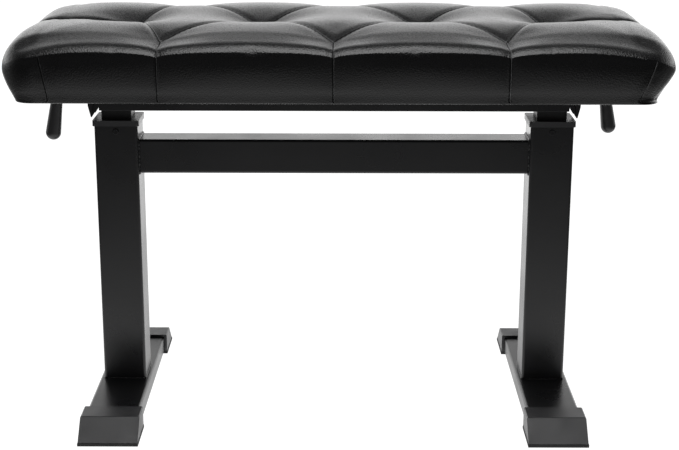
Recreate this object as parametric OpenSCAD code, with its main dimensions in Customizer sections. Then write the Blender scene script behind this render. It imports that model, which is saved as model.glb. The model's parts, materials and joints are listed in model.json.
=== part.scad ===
// Height-adjustable piano bench with two gas-lift columns and a tufted seat.
// Origin on the floor at the bench's centre, X along the seat, Y front to back, Z up.
// Drawn at its lowest setting.

/* [Seat] */
// Seat width over the cover
seat_w = 704; // [660:1:740]
// Seat depth over the cover
seat_d = 340; // [320:1:370]
// Height of the seat's crown above the floor
seat_h = 460; // [450:1:480]
// Height of the seat's underside above the floor
seat_under = 385; // [380:1:390]
// How far each side draws in from the widest line to the underside
seat_taper = 14; // [8:1:20]
// Thickness of the seat board
board_t = 12; // [10:1:16]
// Thickness of the cover with its lining
cover_t = 1.5; // [1.2:0.1:2]
// Width of the hem folded under the board
hem_w = 25; // [18:1:30]

/* [Frame] */
// Distance between the column axes
column_pitch = 503; // [480:1:520]
// Side of the square outer column
column_w = 50; // [50:1:52]
// Height of the outer column's top above the floor
column_top = 333; // [325:1:335]
// Side of the square inner column
inner_w = 35; // [34:0.5:36]
// Side of the square crossbar
crossbar_w = 40; // [30:1:44]
// Height of the crossbar's underside above the floor
crossbar_z = 276; // [150:1:285]
// Wall of the columns, crossbar and foot tubes
tube_wall = 2; // [1.5:0.1:2.5]
// Length of the seat beam
beam_len = 540; // [536:1:560]
// Underside of the seat beam above the floor
beam_z = 351; // [348:1:353]

/* [Feet] */
// Overall length of each foot over its end caps
foot_len = 348; // [320:1:380]
// Width of the foot tube
foot_w = 60; // [54:1:70]
// Height of the foot tube
foot_h = 20; // [18:1:25]
// Sole thickness of the end caps
sole_t = 3; // [2.5:0.1:4]
// Wall of the end caps beside the tube
cap_wall = 3.5; // [3:0.1:4]

/* [Lift] */
// Travel of the seat
lift = 100; // [80:1:110]
// Diameter of the gas cylinder
cylinder_d = 22; // [20:1:22]
// Diameter of the gas rod
rod_d = 10; // [10:1:12]
// Diameter of the release pin
release_d = 4; // [3:0.5:4]

/* [Levers] */
// Diameter of the lever's pivot pin
pivot_d = 5; // [4:0.5:6]
// Distance of the pivot outside the column axis
pivot_x = 26; // [25:0.5:27]
// Sideways offset of the lever's grip
grip_y = 22; // [15:1:30]
// Diameter of the grip at its lower end
grip_d = 17.5; // [15:0.5:20]
// Lean of the grip away from the vertical, in degrees
grip_lean = 8.6; // [4:0.1:12]

/* [Hidden] */
$fn = 48;
eps = 0.01;

// Colours
coat = "#1b1b1d";
plastic = "#26272a";
steel = "#b9bcc0";
chrome = "#d8dadd";
hide = "#1a1a1c";
ply = "#c9a873";

column_x = column_pitch / 2;
tube_in = column_w - 2 * tube_wall;
foot_top = sole_t + foot_h;

// End caps
cap_w = foot_w + 2 * cap_wall;
cap_h = foot_top + 3;
cap_in = foot_len / 2 - 54;
cap_crest = foot_len / 2 - 25;
tube_end = foot_len / 2 - 30;

// Guide bush
flange_w = column_w + 3.5;
flange_t = 6.5;
sleeve_len = 50;
slide_gap = 0.15;
bush_screw_z = column_top - 6.5;

// Gas spring
mount_t = 13;
cylinder_z0 = foot_top + 8;
cylinder_z1 = 322;
gland_t = 14;
cylinder_wall = 1.5;
cylinder_in = cylinder_d - 2 * cylinder_wall;
run_gap = 0.05;
piston_z = 150;
piston_t = 10;
head_z = 343;
head_t = 8;
stud_d = 8;
nut_h = 6.5;
rod_top = 359;
release_top = 366;
release_len = 36;

// Inner column
inner_wall = 1.5;
inner_z0 = 40;
glide_h = 40;
window_z = [355, 376];
window_w = 14;

// Seat stack, from the beam up
dust_t = 0.8;
plate_t = 3;
board_z = seat_under + cover_t;
board_top = board_z + board_t;
plate_z = board_z - dust_t - plate_t;
beam_w = 50;
beam_wall = 3;
beam_in_top = plate_z - beam_wall;
plate_x = [-32.5, 33.5];
plate_len = 250;
bolt_x = [-19.5, 20.5];
bolt_y = 105;
bolt_d = 6;
tee_d = 8;
tee_flange_d = 19;
tee_flange_t = 1.2;

// Lever
pivot_z = 362;
ear_y = [12.5, 15];
hub_d = 13;
hub_len = 23.6;
nose_gap = 0.3;
nose_t = 5;
nose_w = 8;
nose_reach = 2.5;
arm_d = 8;
bend_d = 8.4;
grip_top_d = 13.5;
grip_tip_z = 316.4;
grip_top_z = 361;
bend = [65.9, grip_y, 367.5];
elbow = [34, 6, 367.5];
root = [28.5, 3, 364.5];

// Seat block: height, half width, half depth and corner radius of each level
levels = [
  [seat_under, seat_w / 2 - seat_taper, seat_d / 2 - 10, 18],
  [seat_under + 36, seat_w / 2, seat_d / 2, 28],
  [seat_h - 18, seat_w / 2 - 3, seat_d / 2 - 3, 30],
  [seat_h - 7, seat_w / 2 - 16, seat_d / 2 - 16, 30],
  [seat_h, seat_w / 2 - 60, seat_d / 2 - 54, 40]
];
board_w = 2 * (seat_w / 2 - seat_taper - cover_t - 1);
board_d = 2 * (seat_d / 2 - 10 - cover_t - 1);

// Tufts, three at the front and back and four along the middle
tuft_y = 124;
tuft_pitch = 188;
inner_tuft_x = 90;
outer_tuft_x = 236;
tufts = concat(
  [for (x = [-1, 0, 1], y = [-1, 1]) [x * tuft_pitch, y * tuft_y]],
  [for (x = [-outer_tuft_x, -inner_tuft_x, inner_tuft_x, outer_tuft_x]) [x, 0]]
);
tie_d = 2;
tie_hole_d = 3;
tie_top = seat_h - 6;

// Staples through the hem
staple_w = 10;
staple_wire = 0.8;
staple_leg = 8;
staple_in = hem_w / 2;
staples_long = 9;
staples_short = 4;

// Places a part made beside the right column's axis, or the same part turned half round for the left
module on_column(side) {
  translate([side * column_x, 0, 0]) rotate([0, 0, side > 0 ? 0 : 180]) children();
}

module both_columns() {
  for (side = [-1, 1]) on_column(side) children();
}

// Rectangle with round corners, centred
module round_rect(w, d, r) {
  union() {
    square([w - 2 * r, d], center = true);
    square([w, d - 2 * r], center = true);
    for (x = [-1, 1], y = [-1, 1]) translate([x * (w / 2 - r), y * (d / 2 - r)]) circle(r = r);
  }
}

// Square tube standing on z = 0
module square_tube(w, len, wall, r) {
  linear_extrude(len) difference() {
    round_rect(w, w, r);
    round_rect(w - 2 * wall, w - 2 * wall, max(r - wall, 0.5));
  }
}

// Round bar between two points
module bar(a, b, d) {
  v = b - a;
  len = norm(v);
  translate(a)
    rotate([0, acos(v.z / len), atan2(v.y, v.x)])
      cylinder(d = d, h = len);
}

// Solid of the seat, drawn in by inset
module seat_block(inset) {
  hull() for (level = levels)
    translate([0, 0, level[0] == seat_under ? seat_under + inset : level[0] - inset])
      linear_extrude(eps) round_rect(2 * (level[1] - inset), 2 * (level[2] - inset), level[3], $fn = 32);
}

module foot_tube(side) color(coat) {
  translate([side * column_x, 0, sole_t]) difference() {
    translate([0, tube_end, foot_h / 2]) rotate([90, 0, 0]) linear_extrude(2 * tube_end) difference() {
      round_rect(foot_w, foot_h, 3);
      round_rect(foot_w - 2 * tube_wall, foot_h - 2 * tube_wall, 1);
    }
    translate([0, 0, foot_h / 2]) cylinder(d = stud_d + 0.4, h = foot_h);
    translate([0, 0, -1]) cylinder(d = 20, h = tube_wall + 2);
  }
}

module foot_cap(side, end) color(plastic) {
  translate([side * column_x, 0, 0]) rotate([0, 0, end > 0 ? 0 : 180])
    difference() {
      rotate([90, 0, 90]) translate([0, 0, -cap_w / 2])
        linear_extrude(cap_w) polygon([
          [cap_in, 0], [foot_len / 2 - 0.6, 0], [foot_len / 2, 0.8], [foot_len / 2 - 0.3, 3.4],
          [cap_crest + 1, cap_h - 0.5], [cap_crest, cap_h], [cap_in, cap_h]
        ]);
      translate([-foot_w / 2, cap_in - 1, sole_t]) cube([foot_w, tube_end - cap_in + 1, foot_h]);
      for (x = [-1, 1]) translate([x * cap_w / 2, 0, cap_h]) rotate([0, 45, 0])
        cube([1.6, 2 * foot_len, 1.6], center = true);
    }
}

module column_tube(side) color(coat) {
  on_column(side) difference() {
    translate([0, 0, foot_top]) square_tube(column_w, column_top - foot_top, tube_wall, 3);
    for (y = [-1, 1]) translate([0, y * column_w / 2, bush_screw_z]) rotate([90, 0, 0])
      cylinder(d = 4, h = 3 * tube_wall, center = true);
  }
}

module crossbar_tube() color(coat) {
  len = column_pitch - column_w;
  translate([-len / 2, 0, crossbar_z + crossbar_w / 2]) rotate([0, 90, 0])
    square_tube(crossbar_w, len, tube_wall, 3);
}

module guide_bush(side) color(plastic) {
  hole = inner_w + 2 * slide_gap;
  on_column(side) difference() {
    union() {
      translate([0, 0, column_top]) linear_extrude(flange_t) round_rect(flange_w, flange_w, 3);
      translate([0, 0, column_top - sleeve_len]) linear_extrude(sleeve_len + eps)
        round_rect(tube_in, tube_in, 1);
    }
    translate([0, 0, column_top - sleeve_len - 1]) linear_extrude(sleeve_len + flange_t + 2)
      round_rect(hole, hole, 2);
    for (y = [-1, 1]) translate([0, y * tube_in / 2, bush_screw_z]) rotate([90, 0, 0])
      cylinder(d = 3, h = 8, center = true);
  }
}

module guide_bush_screws() color(coat) {
  both_columns() for (turn = [0, 180]) rotate([0, 0, turn])
    translate([0, -column_w / 2, bush_screw_z]) rotate([90, 0, 0]) difference() {
      union() {
        cylinder(d1 = 7.4, d2 = 6, h = 1.1);
        translate([0, 0, -tube_wall]) cylinder(d = 4, h = tube_wall);
        translate([0, 0, -5.8]) cylinder(d = 3, h = 5.8);
      }
      for (a = [0, 90]) rotate([0, 0, a]) translate([0, 0, 1.1]) cube([3.6, 0.8, 1.4], center = true);
    }
}

module cylinder_mount(side) color(steel) {
  on_column(side) difference() {
    translate([0, 0, foot_top]) linear_extrude(mount_t) round_rect(44, 44, 3);
    translate([0, 0, cylinder_z0]) cylinder(d = cylinder_d, h = mount_t);
    translate([0, 0, foot_top - 1]) cylinder(d = stud_d, h = mount_t);
  }
}

module mount_bolts() color(steel) {
  seat = foot_top - tube_wall;
  both_columns() {
    translate([0, 0, seat]) cylinder(d = stud_d, h = cylinder_z0 - seat);
    translate([0, 0, seat - 5.3]) cylinder(d = 15, h = 5.3, $fn = 6);
  }
}

module gas_cylinder(side) color(coat) {
  on_column(side) difference() {
    translate([0, 0, cylinder_z0]) cylinder(d = cylinder_d, h = cylinder_z1 - cylinder_z0);
    translate([0, 0, cylinder_z0 + 3])
      cylinder(d = cylinder_in, h = cylinder_z1 - gland_t - cylinder_z0 - 3);
    translate([0, 0, cylinder_z1 - gland_t - 1]) cylinder(d = rod_d + 2 * run_gap, h = gland_t + 2);
  }
}

module gas_rod(side) color(chrome) {
  on_column(side) difference() {
    union() {
      translate([0, 0, piston_z]) cylinder(d = cylinder_in - 2 * run_gap, h = piston_t);
      translate([0, 0, piston_z]) cylinder(d = rod_d, h = head_z - piston_z);
      translate([0, 0, head_z - eps]) cylinder(d = stud_d, h = rod_top - head_z);
    }
    translate([0, 0, release_top - release_len - 10])
      cylinder(d = release_d + 2 * run_gap, h = release_len + 10);
  }
}

module rod_nuts() color(steel) {
  both_columns() translate([0, 0, head_z + head_t]) difference() {
    cylinder(d = 15, h = nut_h, $fn = 6);
    translate([0, 0, -1]) cylinder(d = stud_d, h = nut_h + 2);
  }
}

module release_pin(side) color(steel) {
  on_column(side) {
    translate([0, 0, release_top - release_len]) cylinder(d = release_d, h = release_len - 0.8);
    translate([0, 0, release_top - 0.8]) cylinder(d1 = release_d, d2 = release_d - 1.4, h = 0.8);
  }
}

module inner_column(side) color(coat) {
  on_column(side) difference() {
    translate([0, 0, inner_z0]) square_tube(inner_w, beam_in_top - inner_z0, inner_wall, 3);
    translate([inner_w / 2 - 4, -window_w / 2, window_z[0]])
      cube([8, window_w, window_z[1] - window_z[0]]);
  }
}

module column_head(side) color(steel) {
  w = inner_w - 2 * inner_wall;
  on_column(side) translate([0, 0, head_z]) difference() {
    linear_extrude(head_t) round_rect(w, w, 1.5);
    translate([0, 0, -1]) cylinder(d = stud_d, h = head_t + 2);
  }
}

module lower_glide(side) color(plastic) {
  on_column(side) translate([0, 0, inner_z0]) linear_extrude(glide_h) difference() {
    round_rect(tube_in - 0.4, tube_in - 0.4, 1.2);
    round_rect(inner_w, inner_w, 3);
  }
}

module seat_beam() color(coat) {
  translate([-beam_len / 2, 0, 0]) rotate([90, 0, 90]) linear_extrude(beam_len) difference() {
    translate([0, (beam_z + plate_z) / 2]) union() {
      round_rect(beam_w, plate_z - beam_z, 2);
      translate([0, beam_z / 2 - plate_z / 2 + 2]) square([beam_w, 4], center = true);
    }
    translate([-beam_w / 2 + beam_wall, beam_z - 1])
      square([beam_w - 2 * beam_wall, beam_in_top - beam_z + 1]);
  }
}

module plate_holes(d) {
  for (x = bolt_x, y = [-bolt_y, bolt_y]) translate([x, y, 0]) cylinder(d = d, h = 60);
}

module cross_plate(side) color(coat) {
  on_column(side) difference() {
    translate([plate_x[0], -plate_len / 2, plate_z])
      cube([plate_x[1] - plate_x[0], plate_len, plate_t]);
    translate([0, 0, plate_z - 30]) plate_holes(bolt_d + 0.6);
  }
}

module plate_bolts() color(steel) {
  both_columns() for (x = bolt_x, y = [-bolt_y, bolt_y]) translate([x, y, plate_z]) {
    cylinder(d = bolt_d, h = board_top - tee_flange_t - plate_z);
    translate([0, 0, -4]) cylinder(d = 11.5, h = 4, $fn = 6);
  }
}

module tee_nuts() color(steel) {
  barrel = board_t - tee_flange_t - 2;
  both_columns() for (x = bolt_x, y = [-bolt_y, bolt_y])
    translate([x, y, board_top - tee_flange_t]) difference() {
      union() {
        cylinder(d = tee_flange_d, h = tee_flange_t);
        translate([0, 0, -barrel]) cylinder(d = tee_d, h = barrel + eps);
      }
      translate([0, 0, -barrel - 1]) cylinder(d = bolt_d, h = barrel + 4);
    }
}

module bracket_ear() {
  rotate([90, 0, 0]) linear_extrude(ear_y[1] - ear_y[0]) polygon([
    [inner_w / 2, beam_in_top], [inner_w / 2, 358.3], [28.4, 341.6], [29.1, 341], [29.8, 341.4],
    [32.9, 354], [plate_x[1], beam_in_top]
  ]);
}

module lever_bracket(side) color(coat) {
  web_x = beam_len / 2 - column_x;
  on_column(side) difference() {
    union() {
      translate([0, -ear_y[0], 0]) bracket_ear();
      translate([0, ear_y[1], 0]) bracket_ear();
      translate([web_x, -ear_y[1], beam_in_top])
        cube([plate_x[1] - web_x, 2 * ear_y[1], beam_wall]);
    }
    translate([pivot_x, 0, pivot_z]) rotate([90, 0, 0]) cylinder(d = pivot_d, h = 60, center = true);
  }
}

module pivot_pin(side) color(steel) {
  on_column(side) translate([pivot_x, 0, pivot_z]) rotate([90, 0, 0]) {
    cylinder(d = pivot_d, h = 2 * ear_y[1] + 3, center = true);
    translate([0, 0, ear_y[1]]) cylinder(d = 8, h = 2);
  }
}

module pivot_clips() color(steel) {
  both_columns() translate([pivot_x, ear_y[1] + 0.8, pivot_z]) rotate([90, 0, 0]) difference() {
    cylinder(d = 9, h = 0.8);
    translate([0, 0, -1]) cylinder(d = pivot_d, h = 3);
  }
}

module lever_arm(side) color(coat) {
  nose_z = release_top + nose_gap;
  end = bend + [40 * tan(grip_lean), 0, -40];
  on_column(side) difference() {
    union() {
      translate([pivot_x, 0, pivot_z]) rotate([90, 0, 0]) cylinder(d = hub_d, h = hub_len, center = true);
      translate([0, nose_w / 2, 0]) rotate([90, 0, 0]) linear_extrude(nose_w) polygon([
        [pivot_x, pivot_z - hub_d / 2], [pivot_x, pivot_z + hub_d / 2], [pivot_x - 6, nose_z + nose_t],
        [-nose_reach, nose_z + nose_t], [-nose_reach, nose_z + 1], [-nose_reach + 1, nose_z],
        [pivot_x - 8.5, nose_z], [pivot_x - 5, pivot_z - 4]
      ]);
      bar(root, elbow, arm_d);
      translate(elbow) sphere(d = bend_d);
      bar(elbow, bend, arm_d);
      translate(bend) sphere(d = bend_d);
      bar(bend, end, arm_d);
    }
    translate([pivot_x, 0, pivot_z]) rotate([90, 0, 0])
      cylinder(d = pivot_d + 2 * run_gap, h = 60, center = true);
  }
}

module lever_grip(side) color(plastic) {
  ball_z = grip_tip_z + grip_d / 2;
  top_len = (grip_top_z - ball_z) / cos(grip_lean);
  on_column(side) translate(bend) rotate([0, -grip_lean, 0]) {
    drop = (bend.z - ball_z) / cos(grip_lean);
    difference() {
      union() {
        translate([0, 0, -drop]) cylinder(d1 = grip_d, d2 = grip_top_d, h = top_len);
        translate([0, 0, -drop]) sphere(d = grip_d);
      }
      translate([0, 0, -40 / cos(grip_lean)]) cylinder(d = arm_d, h = 60);
    }
  }
}

// Places a staple at each point around the hem, crown along the edge
module on_staples() {
  half_w = board_w / 2 - staple_in;
  half_d = board_d / 2 - staple_in;
  for (i = [0 : staples_long - 1], y = [-half_d, half_d])
    translate([(i - (staples_long - 1) / 2) * 2 * half_w / staples_long, y, seat_under]) children();
  for (i = [0 : staples_short - 1], x = [-half_w, half_w])
    translate([x, (i - (staples_short - 1) / 2) * 2 * half_d / staples_short, seat_under])
      rotate([0, 0, 90]) children();
}

module staple_legs() {
  for (x = [-1, 1]) translate([x * (staple_w - staple_wire) / 2, 0, staple_leg / 2])
    cube([staple_wire, staple_wire, staple_leg], center = true);
}

module cover_staples() color(steel) on_staples() {
  translate([0, 0, -staple_wire / 2]) cube([staple_w, staple_wire, staple_wire], center = true);
  staple_legs();
}

module seat_board() color(ply) {
  difference() {
    translate([0, 0, board_z]) linear_extrude(board_t) round_rect(board_w, board_d, 14);
    both_columns() {
      translate([0, 0, board_z - 20]) plate_holes(tee_d);
      translate([0, 0, board_top - tee_flange_t]) plate_holes(tee_flange_d);
    }
    for (p = tufts) translate([p.x, p.y, board_z - 1]) cylinder(d = tie_hole_d, h = board_t + 2);
    on_staples() staple_legs();
  }
}

module seat_foam() color("#d9cf9a") {
  difference() {
    seat_block(cover_t);
    translate([-seat_w, -seat_d, 0]) cube([2 * seat_w, 2 * seat_d, board_top]);
    for (p = tufts) translate([p.x, p.y, board_top - 1]) cylinder(d = tie_hole_d, h = seat_h);
  }
}

module seat_cover() color(hide) {
  difference() {
    seat_block(0);
    seat_block(cover_t);
    translate([0, 0, seat_under - 1]) linear_extrude(cover_t + 2)
      round_rect(board_w - 2 * hem_w, board_d - 2 * hem_w, 8);
    on_staples() staple_legs();
  }
}

module dust_cover() color("#202022") {
  difference() {
    translate([0, 0, board_z - dust_t]) linear_extrude(dust_t)
      round_rect(board_w - 2 * hem_w - 4, board_d - 2 * hem_w - 4, 6);
    both_columns() translate([0, 0, board_z - 20]) plate_holes(bolt_d + 0.6);
  }
}

module tuft_ties() color(coat) {
  for (p = tufts) translate([p.x, p.y, board_z])
    cylinder(d = tie_d, h = tie_top - board_z);
}

foot_tube(-1);  // foot_tube_left
foot_tube(1);  // foot_tube_right
foot_cap(-1, -1);  // foot_cap_front_left
foot_cap(-1, 1);  // foot_cap_rear_left
foot_cap(1, -1);  // foot_cap_front_right
foot_cap(1, 1);  // foot_cap_rear_right
column_tube(-1);  // column_tube_left
column_tube(1);  // column_tube_right
crossbar_tube();
guide_bush(-1);  // guide_bush_left
guide_bush(1);  // guide_bush_right
guide_bush_screws();
cylinder_mount(-1);  // cylinder_mount_left
cylinder_mount(1);  // cylinder_mount_right
mount_bolts();
gas_cylinder(-1);  // gas_cylinder_left
gas_cylinder(1);  // gas_cylinder_right
gas_rod(-1);  // gas_rod_left
gas_rod(1);  // gas_rod_right
rod_nuts();
release_pin(-1);  // release_pin_left
release_pin(1);  // release_pin_right
inner_column(-1);  // inner_column_left
inner_column(1);  // inner_column_right
column_head(-1);  // column_head_left
column_head(1);  // column_head_right
lower_glide(-1);  // lower_glide_left
lower_glide(1);  // lower_glide_right
seat_beam();
cross_plate(-1);  // cross_plate_left
cross_plate(1);  // cross_plate_right
plate_bolts();
tee_nuts();
lever_bracket(-1);  // lever_bracket_left
lever_bracket(1);  // lever_bracket_right
pivot_pin(-1);  // pivot_pin_left
pivot_pin(1);  // pivot_pin_right
pivot_clips();
lever_arm(-1);  // lever_arm_left
lever_arm(1);  // lever_arm_right
lever_grip(-1);  // lever_grip_left
lever_grip(1);  // lever_grip_right
seat_board();
seat_foam();
seat_cover();
dust_cover();
cover_staples();
tuft_ties();
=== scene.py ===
"""Looks of a gas-lift piano bench: tufted leatherette seat on a black powder-coated steel frame."""

import json
import math

import bmesh
import bpy
import numpy as np
from mathutils import Matrix, Vector
from mathutils.kdtree import KDTree


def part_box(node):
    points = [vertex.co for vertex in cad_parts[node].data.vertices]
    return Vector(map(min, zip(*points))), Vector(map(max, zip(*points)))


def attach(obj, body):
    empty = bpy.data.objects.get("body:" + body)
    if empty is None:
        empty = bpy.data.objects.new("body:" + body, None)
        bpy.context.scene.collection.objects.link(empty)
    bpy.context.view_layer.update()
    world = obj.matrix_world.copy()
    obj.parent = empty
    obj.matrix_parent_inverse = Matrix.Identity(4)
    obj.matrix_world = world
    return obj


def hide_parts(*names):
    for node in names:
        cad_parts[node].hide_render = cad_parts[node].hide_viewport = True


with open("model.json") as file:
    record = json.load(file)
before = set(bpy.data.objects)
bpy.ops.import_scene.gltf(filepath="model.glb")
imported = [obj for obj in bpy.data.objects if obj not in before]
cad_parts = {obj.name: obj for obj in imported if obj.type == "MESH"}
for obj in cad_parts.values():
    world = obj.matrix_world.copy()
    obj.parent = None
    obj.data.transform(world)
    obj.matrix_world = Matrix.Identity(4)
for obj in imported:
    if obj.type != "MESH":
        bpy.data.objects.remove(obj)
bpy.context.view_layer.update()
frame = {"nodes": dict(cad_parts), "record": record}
MM = 0.001


# ---------------------------------------------------------------- camera

CAMERA_AT = Vector((0.0077, -1.7002, 0.6856))
CAMERA_YAW = math.radians(-0.041)
CAMERA_PITCH = math.radians(15.676)
CAMERA_ROLL = math.radians(0.13)
CAMERA_LENS = 78.7


def make_camera():
    """The photo's camera, as fitted to the bench: a long lens a little above the seat."""
    data = bpy.data.cameras.new("camera")
    data.sensor_width = 36.0
    data.lens = CAMERA_LENS
    data.clip_start = 0.05
    camera = bpy.data.objects.new("camera", data)
    bpy.context.scene.collection.objects.link(camera)
    forward = Vector((math.sin(CAMERA_YAW) * math.cos(CAMERA_PITCH),
                      math.cos(CAMERA_YAW) * math.cos(CAMERA_PITCH),
                      -math.sin(CAMERA_PITCH)))
    right = Vector((math.cos(CAMERA_YAW), -math.sin(CAMERA_YAW), 0))
    up = right.cross(forward)
    tilted_right = right * math.cos(CAMERA_ROLL) + up * math.sin(CAMERA_ROLL)
    tilted_up = up * math.cos(CAMERA_ROLL) - right * math.sin(CAMERA_ROLL)
    turn = Matrix((tilted_right, tilted_up, -forward)).transposed().to_4x4()
    camera.matrix_world = Matrix.Translation(CAMERA_AT) @ turn
    bpy.context.scene.camera = camera


make_camera()


# ---------------------------------------------------------------- node helpers

def new_material(name, color, roughness, **inputs):
    """A Principled material, with its node tree and shader."""
    mat = bpy.data.materials.new(name)
    mat.use_nodes = True
    tree = mat.node_tree
    shader = tree.nodes["Principled BSDF"]
    shader.inputs["Base Color"].default_value = (*color, 1)
    shader.inputs["Roughness"].default_value = roughness
    for key, value in inputs.items():
        shader.inputs[key.replace("_", " ")].default_value = value
    return mat, tree, shader


def add_node(tree, kind, inputs=None, **settings):
    """A node with its settings; each input is linked to a socket or set to a value."""
    node = tree.nodes.new(kind)
    for key, value in settings.items():
        setattr(node, key, value)
    for key, value in (inputs or {}).items():
        socket = node.inputs[key]
        if hasattr(value, "is_output"):
            tree.links.new(value, socket)
        else:
            socket.default_value = value
    return node


def coordinates(tree, scale=(1, 1, 1)):
    """Object coordinates, which are the row frame in metres."""
    coord = add_node(tree, "ShaderNodeTexCoord")
    mapping = add_node(tree, "ShaderNodeMapping", {"Vector": coord.outputs["Object"], "Scale": scale})
    return mapping.outputs["Vector"]


def noise(tree, vector, scale, detail=3.0, rough=0.5):
    """A noise texture's value, which lies mostly between 0.3 and 0.7."""
    inputs = {"Vector": vector, "Scale": scale, "Detail": detail, "Roughness": rough}
    return add_node(tree, "ShaderNodeTexNoise", inputs).outputs["Fac"]


def remap(tree, value, low, high, out_low, out_high):
    """Value carried from the range low to high onto another range."""
    inputs = {"Value": value, "From Min": low, "From Max": high, "To Min": out_low, "To Max": out_high}
    return add_node(tree, "ShaderNodeMapRange", inputs).outputs["Result"]


def vary_roughness(tree, shader, fac, smooth, rough):
    """Roughness from smooth to rough over the usual middle range of a noise."""
    tree.links.new(remap(tree, fac, 0.3, 0.7, smooth, rough), shader.inputs["Roughness"])


def bump(tree, shader, height, distance, strength=1.0, below=None):
    """Adds a bump layer, so many metres high, to the shader's normal over the layer below."""
    layer = add_node(tree, "ShaderNodeBump",
                     {"Height": height, "Distance": distance, "Strength": strength})
    if below is not None:
        tree.links.new(below, layer.inputs["Normal"])
    tree.links.new(layer.outputs["Normal"], shader.inputs["Normal"])
    return layer.outputs["Normal"]


def tint(tree, shader, fac, dark, light):
    """Base colour between two colours by fac."""
    mix = add_node(tree, "ShaderNodeMix", data_type="RGBA")
    tree.links.new(fac, mix.inputs["Factor"])
    mix.inputs["A"].default_value = (*dark, 1)
    mix.inputs["B"].default_value = (*light, 1)
    tree.links.new(mix.outputs["Result"], shader.inputs["Base Color"])


def mesh_object(name, points, faces, material):
    """A new object in the scene, from its points and faces."""
    mesh = bpy.data.meshes.new(name)
    mesh.from_pydata([tuple(p) for p in points], [], [tuple(int(i) for i in f) for f in faces])
    mesh.update()
    mesh.materials.append(material)
    obj = bpy.data.objects.new(name, mesh)
    bpy.context.scene.collection.objects.link(obj)
    return obj


# ---------------------------------------------------------------- materials

def powder_coat():
    """Black semi-gloss powder coat with a faint orange peel."""
    mat, tree, shader = new_material("powder_coat", (0.008, 0.008, 0.009), 0.3, Specular_IOR_Level=0.5)
    at = coordinates(tree)
    peel = noise(tree, at, 650, 2.0)
    fine = noise(tree, at, 2600, 2.0)
    low = bump(tree, shader, peel, 0.00012, 0.5)
    bump(tree, shader, fine, 0.00003, 0.5, low)
    cloud = noise(tree, at, 14, 3.0)
    vary_roughness(tree, shader, cloud, 0.25, 0.34)
    tint(tree, shader, cloud, (0.009, 0.009, 0.01), (0.015, 0.015, 0.016))
    return mat


def textured_plastic(name, dark, light, rough):
    """Moulded plastic with a fine spark-eroded grain."""
    mat, tree, shader = new_material(name, dark, rough)
    at = coordinates(tree)
    grain = noise(tree, at, 1500, 2.0, 0.6)
    cloud = noise(tree, at, 40, 3.0)
    bump(tree, shader, grain, 0.0001, 0.6)
    tint(tree, shader, cloud, dark, light)
    vary_roughness(tree, shader, cloud, rough - 0.05, rough + 0.06)
    return mat


def zinc():
    """Zinc-plated steel, faintly mottled."""
    mat, tree, shader = new_material("zinc", (0.6, 0.61, 0.62), 0.34, Metallic=1.0)
    at = coordinates(tree)
    mottle = noise(tree, at, 260, 4.0, 0.6)
    tint(tree, shader, mottle, (0.46, 0.47, 0.49), (0.72, 0.72, 0.7))
    vary_roughness(tree, shader, mottle, 0.28, 0.46)
    bump(tree, shader, mottle, 0.00004, 0.5)
    return mat


def chrome():
    """Ground and hard-chromed rod, with fine lines round it."""
    mat, tree, shader = new_material("chrome", (0.78, 0.79, 0.81), 0.09, Metallic=1.0)
    at = coordinates(tree, (1, 1, 60))
    lines = noise(tree, at, 60, 2.0)
    vary_roughness(tree, shader, lines, 0.06, 0.14)
    bump(tree, shader, lines, 0.000005, 0.4)
    return mat


def plywood():
    """Plywood board: long grain on the faces, ply lines on the edges."""
    mat, tree, shader = new_material("plywood", (0.5, 0.36, 0.2), 0.62)
    grain = noise(tree, coordinates(tree, (1, 26, 26)), 9, 6.0, 0.65)
    plies = add_node(tree, "ShaderNodeTexWave",
                     {"Vector": coordinates(tree), "Scale": 160.0, "Distortion": 0.6, "Detail": 2.0},
                     bands_direction="Z")
    both = add_node(tree, "ShaderNodeMath", {0: grain, 1: plies.outputs["Fac"]}, operation="MULTIPLY")
    tint(tree, shader, both.outputs["Value"], (0.34, 0.22, 0.11), (0.66, 0.5, 0.3))
    bump(tree, shader, grain, 0.0002, 0.5)
    return mat


def grain_cells(tree, at):
    """The small cells of the leatherette's grain, pushed out of line by a wobble of about a millimetre."""
    wobble = add_node(tree, "ShaderNodeTexNoise", {"Vector": at, "Scale": 420.0, "Detail": 2.0})
    push = (0.0011, 0.0011, 0.0011)
    shifted = add_node(tree, "ShaderNodeVectorMath", {0: wobble.outputs["Color"], 1: push},
                       operation="MULTIPLY")
    moved = add_node(tree, "ShaderNodeVectorMath", {0: at, 1: shifted.outputs["Vector"]}, operation="ADD")
    cells = add_node(tree, "ShaderNodeTexVoronoi", {"Vector": moved.outputs["Vector"], "Scale": 700.0},
                     feature="SMOOTH_F1")
    cells.inputs["Smoothness"].default_value = 0.6
    return cells.outputs["Distance"]


def leatherette():
    """Black leatherette: pebbled grain of small cells with fine pores, satin sheen."""
    mat, tree, shader = new_material("leatherette", (0.005, 0.005, 0.0055), 0.3, Specular_IOR_Level=0.44)
    at = coordinates(tree)
    cells = grain_cells(tree, at)
    pores = noise(tree, at, 2400, 2.0, 0.6)
    soft = noise(tree, at, 55, 4.0, 0.55)
    first = bump(tree, shader, soft, 0.0005, 0.08)
    second = bump(tree, shader, cells, 0.0006, 0.4, first)
    bump(tree, shader, pores, 0.00003, 0.4, second)
    tree.links.new(remap(tree, cells, 0.0, 0.8, 0.22, 0.34), shader.inputs["Roughness"])
    tint(tree, shader, soft, (0.0015, 0.0015, 0.0018), (0.0035, 0.0035, 0.004))
    return mat


def seam_fold():
    """The turned-in edges of the leatherette at a seam."""
    mat, tree, shader = new_material("seam_fold", (0.003, 0.003, 0.003), 0.45, Specular_IOR_Level=0.4)
    bump(tree, shader, noise(tree, coordinates(tree), 900, 2.0), 0.0002, 0.5)
    return mat


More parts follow.
